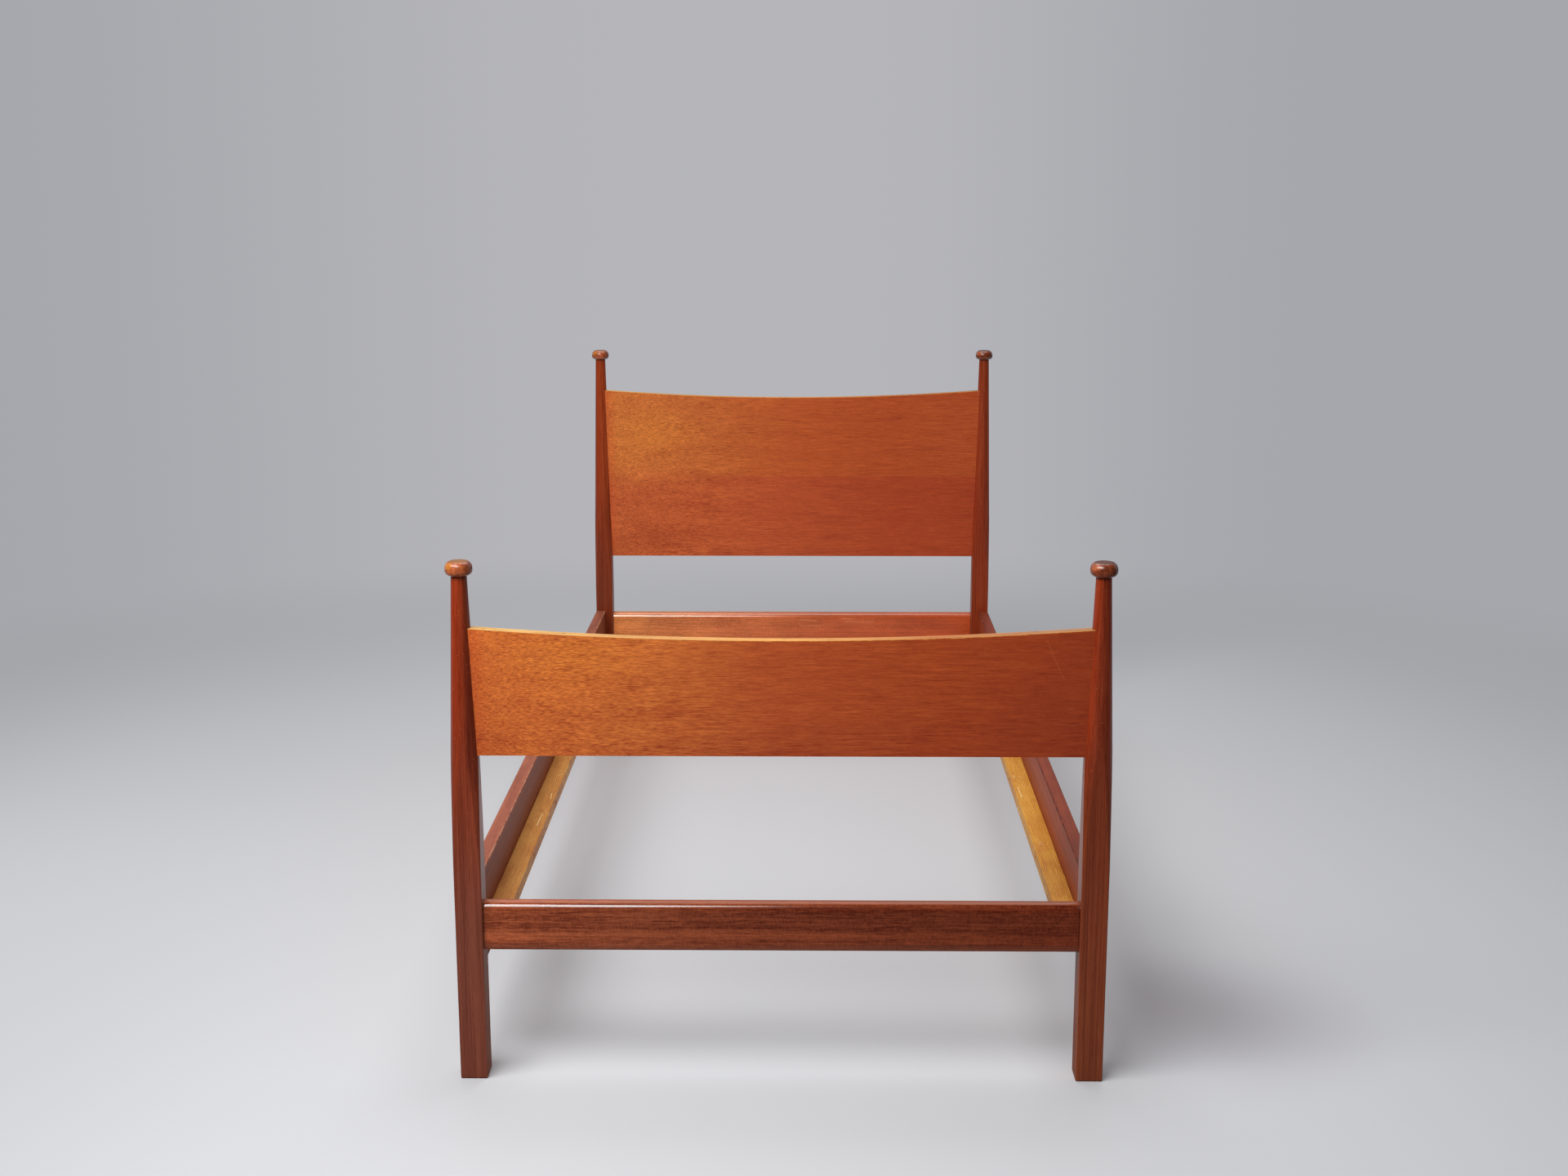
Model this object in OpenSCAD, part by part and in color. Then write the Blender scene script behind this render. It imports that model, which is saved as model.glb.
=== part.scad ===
// Single bed frame: four turned posts, two veneered end boards, two cross
// rails and two hook-on side rails with ledgers. Millimetres, +Z up, floor at
// Z 0, foot end at -Y, left and right as seen from the foot end.

/* [Overall] */
// Width over the posts
bed_w = 954; // [850:1:1500]
// Length over the posts
bed_l = 1974; // [1750:1:2150]
// Height of the foot posts with their finials
foot_h = 784; // [750:1:860]
// Height of the head posts with their finials
head_h = 914; // [880:1:1100]

/* [Posts] */
// Side of the square part of a post
post_w = 40; // [38:0.5:52]
// Radius of the long arrises of a post
post_arris = 2; // [0.5:0.5:4]
// Bevel round the underside of a post
foot_bevel = 2; // [0.5:0.5:4]
// Height at which the turning first cuts the corners of the square
square_top = 300; // [290:1:360]
// Height at which the post is fully round and starts to taper
taper_start = 520; // [440:1:560]
// Diameter of the neck under a finial
neck_d = 22.6; // [18:0.2:30]

/* [Finials] */
// Diameter of a finial
finial_d = 39.4; // [34:0.2:46]
// Height of a finial
finial_h = 22; // [18:0.5:30]
// Height of the widest line of a finial above its seat
finial_belly = 8.5; // [7:0.5:13]
// Squareness of the finial's outline, 2 is an ellipse
finial_power = 2.4; // [2:0.1:3]
// Diameter of the spigot that plugs a finial into its post
spigot_d = 12; // [8:0.5:15]
// Length of that spigot
spigot_l = 22; // [12:1:30]

/* [Cross rails] */
// Height of a cross rail
cross_rail_h = 73; // [55:1:84]
// Thickness of a cross rail, whose top is rounded across it
cross_rail_t = 27; // [22:0.5:32]
// Height of the underside of the cross rails
cross_rail_bottom = 202; // [180:1:215]
// Radius of the bottom edges of a cross rail
cross_rail_bottom_r = 2; // [1:0.5:5]
// Thickness of the tenons of a cross rail
tenon_t = 12; // [8:0.5:14]
// Wood between the bottom of a tenon's mortise and the plate screws beside it
mortise_wall = 1.9; // [1:0.1:6]
// Step from the rail's edges to the tenon
tenon_shoulder = 8; // [5:0.5:14]

/* [End boards] */
// Height of the underside of the footboard
foot_board_bottom = 498; // [460:1:520]
// Drop from the top of the foot posts to the footboard's top edge at mid width
foot_board_drop = 115; // [104:1:150]
// Height of the underside of the headboard
head_board_bottom = 416; // [400:1:520]
// Drop from the top of the head posts to the headboard's top edge at mid width
head_board_drop = 113; // [104:1:200]
// Dip of the top edge from the board's ends to its middle
board_dip = 17; // [8:1:24]
// Thickness of a board over its veneers
board_t = 17; // [14:0.5:19]
// Thickness of one veneer
veneer_t = 0.6; // [0.5:0.1:1.5]
// Height of the lipping along the top edge
lipping_h = 6; // [4:0.5:12]
// Distance from a post's axis to the end of the board in its groove
board_end_inset = 8; // [7.5:0.5:10]

/* [Side rails] */
// Thickness of a side rail
side_rail_t = 22; // [20:0.5:28]
// Height of a side rail
side_rail_h = 145; // [140:1:170]
// Height of the top of the side rails
side_rail_top = 281; // [265:1:289]
// Radius of the arrises of a side rail
side_rail_arris = 2; // [0.5:0.5:5]

/* [Ledgers] */
// Width of a ledger
ledger_w = 34; // [25:0.5:45]
// Height of a ledger
ledger_h = 21; // [18:0.5:30]
// Drop from the top of the side rail to the top of its ledger
ledger_drop = 72.5; // [50:0.5:90]
// Distance from a post to the end of the ledger
ledger_end_gap = 10; // [2:1:60]
// Radius of the arrises of a ledger
ledger_arris = 1; // [0.5:0.5:3]
// Number of screws through a ledger
ledger_screws_n = 7; // [3:1:9]
// Distance from an end of the ledger to its first screw
ledger_screw_inset = 88; // [20:1:200]
// Diameter of a ledger screw
ledger_screw_d = 4.5; // [3.5:0.5:6]
// Depth that a ledger screw reaches into the side rail
ledger_screw_bite = 14; // [10:0.5:17]
// Diameter of its head
ledger_screw_head_d = 9; // [8:0.5:12]
// Depth of the head below the face of the ledger
ledger_screw_sink = 3; // [1:0.5:5]

/* [Hook fittings] */
// Length of the steel plates in the rail ends and the posts
plate_l = 120; // [116:1:132]
// Width of these plates
plate_w = 14; // [12:0.5:16]
// Thickness of these plates
plate_t = 2.5; // [2:0.1:3.5]
// Thickness of a hook
hook_t = 3; // [2:0.1:4]
// Height of a hook's arm
hook_arm_h = 11; // [8:0.5:13]
// Depth of the lip that hangs behind the slotted plate
hook_drop = 7; // [5:0.5:8]
// Thickness of that lip
hook_lip_t = 3; // [2:0.1:4]
// Distance between the two hooks of a plate
hook_spacing = 48; // [42:1:54]
// Diameter of a plate screw
plate_screw_d = 4; // [3:0.5:5]
// Length of a plate screw
plate_screw_l = 30; // [20:1:34]
// Diameter of its head
plate_screw_head_d = 8; // [7:0.5:9]
// Width of a driver slot in a screw head
driver_slot_w = 1; // [0.8:0.1:1.2]
// Depth of a driver slot
driver_slot_depth = 1; // [0.6:0.1:1.4]

/* [Fits] */
// Gap between a side rail and a post, and below a resting hook
running_gap = 0.3; // [0.2:0.05:0.5]
// Gap on each side of a hook in its slot and behind the slotted plate
hook_gap = 0.5; // [0.4:0.05:0.8]
// Gap round a glued, driven or housed piece
glue_gap = 0.1; // [0.05:0.05:0.2]
// Spare depth at the bottom of a mortise, hole or pocket
end_gap = 1; // [0.5:0.5:1.5]

/* [Hidden] */
$fn = 64;
// Overlap of a cutting solid past the face that it opens
cut = 1;
arc_facets = 720;
finial_steps = 14;

post_x = (bed_w - post_w) / 2;
post_y = (bed_l - post_w) / 2;
neck_r = neck_d / 2;
corner_r = post_w / sqrt(2);
foot_neck_z = foot_h - finial_h;
head_neck_z = head_h - finial_h;

side_rail_l = bed_l - 2 * post_w - 2 * running_gap;
side_rail_x = bed_w / 2 - side_rail_t / 2;
side_rail_bottom = side_rail_top - side_rail_h;
// Offset of the side rail's middle from the post's axis
plate_x = side_rail_x - post_x;

cross_rail_l = bed_w - 2 * post_w;
tenon_h = cross_rail_h - 2 * tenon_shoulder;
mortise_depth = post_w / 2 + plate_x - plate_screw_d / 2 - glue_gap - mortise_wall;
tenon_l = mortise_depth - end_gap;
tenon_z = cross_rail_bottom + tenon_shoulder;

foot_board_top = foot_h - foot_board_drop;
head_board_top = head_h - head_board_drop;
board_half_l = post_x - board_end_inset;
board_arc_r = (pow(board_half_l, 2) + pow(board_dip, 2)) / (2 * board_dip);
core_t = board_t - 2 * veneer_t;

ledger_x = bed_w / 2 - side_rail_t - ledger_w / 2;
ledger_z = side_rail_top - ledger_drop - ledger_h;
ledger_l = bed_l - 2 * post_w - 2 * ledger_end_gap;
ledger_screw_z = ledger_z + ledger_h / 2;
ledger_screw_l = ledger_w - ledger_screw_sink + ledger_screw_bite;
ledger_screw_pitch = (ledger_l - 2 * ledger_screw_inset) / (ledger_screws_n - 1);

plate_z = side_rail_bottom + side_rail_h / 2;
plate_screw_zs = [for (k = [-1, 1]) plate_z + k * (plate_l - plate_w) / 2];
hook_reach = running_gap + plate_t + hook_gap + hook_lip_t;
// Travel that frees the lips: over the slot's lower edge and a little more
lift_travel = hook_drop + running_gap + hook_gap;
slot_h = running_gap + hook_arm_h + lift_travel + hook_gap;
pocket_h = slot_h + hook_drop + end_gap;
pocket_depth = hook_reach - running_gap + end_gap;
pocket_zs = [for (k = [-1, 1]) plate_z + k * hook_spacing / 2 - pocket_h / 2];
slot_w = hook_t + 2 * hook_gap;

post_colour = [0.43, 0.17, 0.10];
finial_colour = [0.58, 0.29, 0.16];
board_colour = [0.72, 0.36, 0.15];
core_colour = [0.80, 0.64, 0.44];
lipping_colour = [0.86, 0.62, 0.30];
cross_rail_colour = [0.50, 0.22, 0.12];
side_rail_colour = [0.55, 0.33, 0.27];
ledger_colour = [0.85, 0.65, 0.36];
steel_colour = [0.55, 0.56, 0.58];

// Puts a child drawn about the axis of the right foot post at any corner:
// side is -1 for left and 1 for right, end is -1 for foot and 1 for head
module corner(side, end) {
  mirror([side < 0 ? 1 : 0, 0, 0])
    mirror([0, end > 0 ? 1 : 0, 0])
      translate([post_x, -post_y, 0])
        children();
}

// Mirrors a child drawn on the right to the left
module on_side(side) {
  mirror([side < 0 ? 1 : 0, 0, 0])
    children();
}

// Bar section standing on the X axis, with its own top and bottom radii
module bar_section(w, h, top_r, bottom_r) {
  translate([-w / 2, bottom_r])
    square([w, h - top_r - bottom_r]);
  translate([-w / 2 + bottom_r, 0])
    square([w - 2 * bottom_r, h / 2]);
  translate([-w / 2 + top_r, h / 2])
    square([w - 2 * top_r, h / 2]);
  for (side = [-1, 1]) {
    translate([side * (w / 2 - bottom_r), bottom_r])
      circle(r = bottom_r);
    translate([side * (w / 2 - top_r), h - top_r])
      circle(r = top_r);
  }
}

// Plate with round ends, standing on end in the XZ plane, from Y 0 to Y t
module round_end_plate(w, l, t) {
  translate([0, t, 0])
    rotate([90, 0, 0])
      linear_extrude(t) {
        square([w, l - w], center = true);
        for (end = [-1, 1])
          translate([0, end * (l - w) / 2])
            circle(d = w);
      }
}

// Countersunk wood screw along +Y, its head's face at Y 0
module wood_screw(d, l, head_d) {
  head_l = (head_d - d) / 2;
  difference() {
    rotate([-90, 0, 0])
      rotate_extrude()
        polygon([[0, 0], [head_d / 2, 0], [d / 2, head_l], [d / 2, l - 2 * d], [0, l]]);
    translate([-head_d / 2 - cut, -cut, -driver_slot_w / 2])
      cube([head_d + 2 * cut, driver_slot_depth + cut, driver_slot_w]);
  }
}

// Hole for that screw, with the gap round it and a straight mouth over its head
module screw_hole(d, l, head_d, mouth) {
  head_l = (head_d - d) / 2;
  hole_r = d / 2 + glue_gap;
  head_r = head_d / 2 + glue_gap;
  rotate([-90, 0, 0])
    rotate_extrude()
      polygon([
        [0, -mouth], [head_r, -mouth], [head_r, 0], [hole_r, head_l],
        [hole_r, l - 2 * d], [0, l + glue_gap]
      ]);
}

// Outline of the turning: full corners, then a straight run to round, then a
// cone to the neck
module turned_envelope(neck_z) {
  rotate_extrude()
    polygon([
      [0, 0], [corner_r, 0], [corner_r, square_top], [post_w / 2, taper_start],
      [neck_r, neck_z], [0, neck_z]
    ]);
}

// Four bevels round the foot of a post
module foot_bevels() {
  for (a = [0:90:270])
    rotate([0, 0, a])
      translate([post_w / 2, 0, 0])
        rotate([0, 45, 0])
          cube([foot_bevel * sqrt(2), post_w + 2 * cut, foot_bevel * sqrt(2)], center = true);
}

// Mortise for a cross rail's tenon, open at the inner face
module tenon_mortise() {
  translate([-post_w / 2 - cut, -tenon_t / 2 - glue_gap, tenon_z - glue_gap])
    cube([mortise_depth + cut, tenon_t + 2 * glue_gap, tenon_h + 2 * glue_gap]);
}

// Stopped groove that houses the end of an end board
module board_groove(bottom, top) {
  translate([-post_w / 2 - cut, -board_t / 2 - glue_gap, bottom - glue_gap])
    cube([
      post_w / 2 - board_end_inset + cut + glue_gap,
      board_t + 2 * glue_gap,
      top + board_dip + 2 * glue_gap - bottom
    ]);
}

// Seat for a slotted plate in the face of a post, with its pockets and screw holes
module plate_seat() {
  translate([plate_x, post_w / 2 - plate_t - glue_gap, plate_z])
    round_end_plate(plate_w + 2 * glue_gap, plate_l + 2 * glue_gap, plate_t + glue_gap + cut);
  for (z = pocket_zs)
    translate([plate_x - slot_w / 2, post_w / 2 - pocket_depth, z])
      cube([slot_w, pocket_depth, pocket_h]);
  for (z = plate_screw_zs)
    translate([plate_x, post_w / 2, z])
      rotate([0, 0, 180])
        screw_hole(plate_screw_d, plate_screw_l, plate_screw_head_d, cut);
}

// Post about its own axis, with its inner face at -X and the side rail at +Y
module post(neck_z, board_bottom, board_top) {
  color(post_colour)
    difference() {
      intersection() {
        translate([0, -post_w / 2, 0])
          linear_extrude(neck_z)
            bar_section(post_w, post_w, post_arris, post_arris);
        turned_envelope(neck_z);
      }
      foot_bevels();
      tenon_mortise();
      board_groove(board_bottom, board_top);
      plate_seat();
      translate([0, 0, neck_z - spigot_l - end_gap])
        cylinder(h = spigot_l + end_gap + cut, d = spigot_d + 2 * glue_gap);
    }
}

module foot_post(side) {
  corner(side, -1)
    post(foot_neck_z, foot_board_bottom, foot_board_top);
}

module head_post(side) {
  corner(side, 1)
    post(head_neck_z, head_board_bottom, head_board_top);
}

// Points of one quarter of a finial's outline, from the belly at angle 0
function finial_quarter(inner, half_h, up) = [
  for (i = [0:finial_steps])
    let (a = 90 * i / finial_steps)
      [
        inner + (finial_d / 2 - inner) * pow(cos(a), 2 / finial_power),
        finial_belly + up * half_h * pow(sin(a), 2 / finial_power)
      ]
];

// Mushroom finial on its seat at Z 0, with its spigot below
module finial(neck_z) {
  lower = finial_quarter(neck_r, finial_belly, -1);
  upper = finial_quarter(0, finial_h - finial_belly, 1);
  lower_up = [for (i = [finial_steps:-1:1]) lower[i]];
  color(finial_colour)
    translate([0, 0, neck_z]) {
      rotate_extrude()
        polygon(concat([[0, 0]], lower_up, upper));
      translate([0, 0, -spigot_l])
        cylinder(h = spigot_l + finial_belly, d = spigot_d);
    }
}

module foot_finial(side) {
  corner(side, -1)
    finial(foot_neck_z);
}

module head_finial(side) {
  corner(side, 1)
    finial(head_neck_z);
}

// Section of a cross rail, half-round along its top
module cross_rail_section(w, h, bottom_r) {
  translate([-w / 2, bottom_r])
    square([w, h - w / 2 - bottom_r]);
  translate([-w / 2 + bottom_r, 0])
    square([w - 2 * bottom_r, h / 2]);
  for (side = [-1, 1])
    translate([side * (w / 2 - bottom_r), bottom_r])
      circle(r = bottom_r);
  translate([0, h - w / 2])
    circle(r = w / 2);
}

// Cross rail between two posts, with a tenon at each end
module cross_rail(end) {
  color(cross_rail_colour)
    translate([0, end * post_y, 0]) {
      translate([-cross_rail_l / 2, 0, cross_rail_bottom])
        rotate([90, 0, 90])
          linear_extrude(cross_rail_l)
            cross_rail_section(cross_rail_t, cross_rail_h, cross_rail_bottom_r);
      translate([-cross_rail_l / 2 - tenon_l, -tenon_t / 2, tenon_z])
        cube([cross_rail_l + 2 * tenon_l, tenon_t, tenon_h]);
    }
}

// Cylinder whose underside is the concave top edge, lowered by depth
module edge_arc(top, depth) {
  translate([0, 0, top + board_arc_r])
    rotate([90, 0, 0])
      cylinder(h = board_t + 2 * cut, r = board_arc_r + depth, center = true, $fn = arc_facets);
}

// Slab of an end board from y to y + t, up to the arc at that depth
module board_slab(end, bottom, top, y, t, depth) {
  translate([0, end * post_y, 0])
    difference() {
      translate([-board_half_l, y, bottom])
        cube([2 * board_half_l, t, top + board_dip - bottom]);
      edge_arc(top, depth);
    }
}

module board_core(end, bottom, top) {
  color(core_colour)
    board_slab(end, bottom, top, -core_t / 2, core_t, lipping_h);
}

// Veneer on one face, front is -1 and back is 1, running up past the lipping
module board_veneer(end, bottom, top, face) {
  color(board_colour)
    board_slab(end, bottom, top, face * (board_t - veneer_t) / 2 - veneer_t / 2, veneer_t, 0);
}

// Lipping between the veneers along the top edge
module board_lipping(end, bottom, top) {
  color(lipping_colour)
    intersection() {
      board_slab(end, bottom, top, -core_t / 2, core_t, 0);
      translate([0, end * post_y, 0])
        edge_arc(top, lipping_h);
    }
}

// Places a child drawn from a rail's end face, outwards to -Y, at the foot
// end or mirrored at the head end of the right rail
module rail_end(end) {
  mirror([0, end > 0 ? 1 : 0, 0])
    translate([side_rail_x, -side_rail_l / 2, 0])
      children();
}

module side_rail(side) {
  color(side_rail_colour)
    on_side(side)
      difference() {
        translate([side_rail_x, side_rail_l / 2, side_rail_bottom])
          rotate([90, 0, 0])
            linear_extrude(side_rail_l)
              bar_section(side_rail_t, side_rail_h, side_rail_arris, side_rail_arris);
        for (end = [-1, 1])
          rail_end(end) {
            translate([0, -cut, plate_z])
              round_end_plate(
                plate_w + 2 * glue_gap, plate_l + 2 * glue_gap, plate_t + glue_gap + cut
              );
            for (z = plate_screw_zs)
              translate([0, 0, z])
                screw_hole(plate_screw_d, plate_screw_l, plate_screw_head_d, cut);
          }
        ledger_screw_holes();
      }
}

// Places a child along +Y at every ledger screw of the right ledger
module at_ledger_screws() {
  first = ledger_screw_inset - ledger_l / 2;
  for (i = [0:ledger_screws_n - 1])
    translate([ledger_x - ledger_w / 2 + ledger_screw_sink, first + i * ledger_screw_pitch, ledger_screw_z])
      rotate([0, 0, -90])
        children();
}

module ledger_screw_holes() {
  at_ledger_screws()
    screw_hole(ledger_screw_d, ledger_screw_l, ledger_screw_head_d, ledger_screw_sink + cut);
}

module ledger(side) {
  color(ledger_colour)
    on_side(side)
      difference() {
        translate([ledger_x, ledger_l / 2, ledger_z])
          rotate([90, 0, 0])
            linear_extrude(ledger_l)
              bar_section(ledger_w, ledger_h, ledger_arris, ledger_arris);
        ledger_screw_holes();
      }
}

module ledger_screws(side) {
  color(steel_colour)
    on_side(side)
      at_ledger_screws()
        wood_screw(ledger_screw_d, ledger_screw_l, ledger_screw_head_d);
}

// Slotted plate let flush into a post
module slot_plate(side, end) {
  color(steel_colour)
    corner(side, end)
      translate([plate_x, post_w / 2 - plate_t, 0])
        difference() {
          translate([0, 0, plate_z])
            round_end_plate(plate_w, plate_l, plate_t);
          for (z = pocket_zs)
            translate([-slot_w / 2, -cut, z + pocket_h - slot_h])
              cube([slot_w, plate_t + 2 * cut, slot_h]);
          for (z = plate_screw_zs)
            translate([0, plate_t, z])
              rotate([0, 0, 180])
                screw_hole(plate_screw_d, plate_screw_l, plate_screw_head_d, cut);
        }
}

module slot_screws(side, end) {
  color(steel_colour)
    corner(side, end)
      for (z = plate_screw_zs)
        translate([plate_x, post_w / 2, z])
          rotate([0, 0, 180])
            wood_screw(plate_screw_d, plate_screw_l, plate_screw_head_d);
}

// One hook, drawn outwards to -Y from the plate's face; its arm rests a
// running gap above the slot's lower edge at seat_z
module hook(seat_z) {
  arm_z = seat_z + running_gap;
  tip_z = arm_z - hook_drop;
  ease = hook_lip_t / 3;
  translate([-hook_t / 2, 0, 0])
    rotate([90, 0, 90])
      linear_extrude(hook_t)
        polygon([
          [plate_t, arm_z], [-hook_reach + hook_lip_t, arm_z],
          [-hook_reach + hook_lip_t, tip_z + ease],
          [-hook_reach + hook_lip_t - ease, tip_z], [-hook_reach + ease, tip_z],
          [-hook_reach, tip_z + ease], [-hook_reach, arm_z + hook_arm_h - 2 * ease],
          [-hook_reach + 2 * ease, arm_z + hook_arm_h], [plate_t, arm_z + hook_arm_h]
        ]);
}

// Plate with two hooks, let flush into the end of a side rail
module hook_plate(side, end) {
  color(steel_colour)
    on_side(side)
      rail_end(end)
        difference() {
          union() {
            translate([0, 0, plate_z])
              round_end_plate(plate_w, plate_l, plate_t);
            for (z = pocket_zs)
              hook(z + pocket_h - slot_h);
          }
          for (z = plate_screw_zs)
            translate([0, 0, z])
              screw_hole(plate_screw_d, plate_screw_l, plate_screw_head_d, cut);
        }
}

module hook_screws(side, end) {
  color(steel_colour)
    on_side(side)
      rail_end(end)
        for (z = plate_screw_zs)
          translate([0, 0, z])
            wood_screw(plate_screw_d, plate_screw_l, plate_screw_head_d);
}

foot_post(-1);  // foot_post_left
foot_post(1);  // foot_post_right
head_post(-1);  // head_post_left
head_post(1);  // head_post_right
foot_finial(-1);  // foot_finial_left
foot_finial(1);  // foot_finial_right
head_finial(-1);  // head_finial_left
head_finial(1);  // head_finial_right
cross_rail(-1);  // foot_cross_rail
cross_rail(1);  // head_cross_rail
board_core(-1, foot_board_bottom, foot_board_top);  // footboard_core
board_veneer(-1, foot_board_bottom, foot_board_top, -1);  // footboard_front_veneer
board_veneer(-1, foot_board_bottom, foot_board_top, 1);  // footboard_back_veneer
board_lipping(-1, foot_board_bottom, foot_board_top);  // footboard_lipping
board_core(1, head_board_bottom, head_board_top);  // headboard_core
board_veneer(1, head_board_bottom, head_board_top, -1);  // headboard_front_veneer
board_veneer(1, head_board_bottom, head_board_top, 1);  // headboard_back_veneer
board_lipping(1, head_board_bottom, head_board_top);  // headboard_lipping
side_rail(-1);  // side_rail_left
side_rail(1);  // side_rail_right
ledger(-1);  // ledger_left
ledger(1);  // ledger_right
ledger_screws(-1);  // ledger_screws_left
ledger_screws(1);  // ledger_screws_right
slot_plate(-1, -1);  // foot_slot_plate_left
slot_plate(1, -1);  // foot_slot_plate_right
slot_plate(-1, 1);  // head_slot_plate_left
slot_plate(1, 1);  // head_slot_plate_right
slot_screws(-1, -1);  // foot_slot_screws_left
slot_screws(1, -1);  // foot_slot_screws_right
slot_screws(-1, 1);  // head_slot_screws_left
slot_screws(1, 1);  // head_slot_screws_right
hook_plate(-1, -1);  // foot_hook_plate_left
hook_plate(1, -1);  // foot_hook_plate_right
hook_plate(-1, 1);  // head_hook_plate_left
hook_plate(1, 1);  // head_hook_plate_right
hook_screws(-1, -1);  // foot_hook_screws_left
hook_screws(1, -1);  // foot_hook_screws_right
hook_screws(-1, 1);  // head_hook_screws_left
hook_screws(1, 1);  // head_hook_screws_right
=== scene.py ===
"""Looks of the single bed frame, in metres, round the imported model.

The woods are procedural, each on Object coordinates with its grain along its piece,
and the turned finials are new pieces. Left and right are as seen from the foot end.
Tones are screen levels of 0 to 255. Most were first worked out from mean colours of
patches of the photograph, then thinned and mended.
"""

import math

import bpy
import numpy as np
from mathutils import Matrix, Vector


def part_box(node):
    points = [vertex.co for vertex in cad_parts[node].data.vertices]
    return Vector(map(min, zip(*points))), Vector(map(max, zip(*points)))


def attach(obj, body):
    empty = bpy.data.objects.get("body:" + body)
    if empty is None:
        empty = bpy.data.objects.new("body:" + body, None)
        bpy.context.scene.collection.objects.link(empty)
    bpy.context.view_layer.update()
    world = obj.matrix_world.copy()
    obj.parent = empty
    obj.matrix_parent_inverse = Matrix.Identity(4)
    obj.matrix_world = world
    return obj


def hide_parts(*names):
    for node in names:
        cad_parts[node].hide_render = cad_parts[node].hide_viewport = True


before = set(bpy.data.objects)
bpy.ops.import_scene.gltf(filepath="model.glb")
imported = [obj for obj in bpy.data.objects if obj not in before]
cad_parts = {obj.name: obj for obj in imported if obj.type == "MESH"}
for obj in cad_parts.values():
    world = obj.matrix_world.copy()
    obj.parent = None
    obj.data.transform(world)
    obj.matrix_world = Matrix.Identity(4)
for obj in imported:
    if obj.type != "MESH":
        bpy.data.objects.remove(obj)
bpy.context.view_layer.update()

MM = 0.001
X, Y, Z = 0, 1, 2

# Camera: its place, its turns in radians, and its lens and sensor in millimetres
EYE = Vector((0.0378, -3.643, 1.311))
YAW = -0.0124
PITCH = 0.2087
ROLL = -0.0005
LENS = 44.3
SENSOR = 36.0

# Turned finials: the model's outline, with a flat disc on a crown 1 mm lower
NECK_R = 11.3 * MM
FINIAL_H = 22 * MM
FINIAL_BELLY = 8.5 * MM
FINIAL_POWER = 2.4
FINIAL_CROWN = 21 * MM
FINIAL_DISC_R = 8.5 * MM
SPIGOT_R = 6 * MM

# Half a square post, a cross rail's tenon, and a board's dished top: depth and half length
POST_HALF = 20 * MM
RAIL_TENON = 24 * MM
BOARD_DIP = 17 * MM
BOARD_HALF = 449 * MM

# Sockets of a Mix node that mixes colours
MIX_FACTOR, MIX_A, MIX_B, MIX_RESULT = 0, 6, 7, 2


class Socket:
    """A value in a node tree, with the arithmetic that the finishes use."""

    def __init__(self, tree, out):
        self.tree = tree
        self.out = out

    def math(self, operation, *values):
        return self.tree.node("ShaderNodeMath", {"operation": operation}, values)

    def __add__(self, other):
        return self.math("ADD", self, other)

    def __radd__(self, other):
        return self.math("ADD", other, self)

    def __sub__(self, other):
        return self.math("SUBTRACT", self, other)

    def __rsub__(self, other):
        return self.math("SUBTRACT", other, self)

    def __mul__(self, other):
        return self.math("MULTIPLY", self, other)

    def __rmul__(self, other):
        return self.math("MULTIPLY", other, self)

    def __truediv__(self, other):
        return self.math("DIVIDE", self, other)

    def __rtruediv__(self, other):
        return self.math("DIVIDE", other, self)

    def __abs__(self):
        return self.math("ABSOLUTE", self)

    def larger(self, other):
        return self.math("MAXIMUM", self, other)

    def smaller(self, other):
        return self.math("MINIMUM", self, other)

    def above(self, low, high):
        """Soft step from 0 at low to 1 at high; low may be the larger."""
        values = {"Value": self, "From Min": low, "From Max": high}
        settings = {"interpolation_type": "SMOOTHSTEP"}
        return self.tree.node("ShaderNodeMapRange", settings, values)


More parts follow.
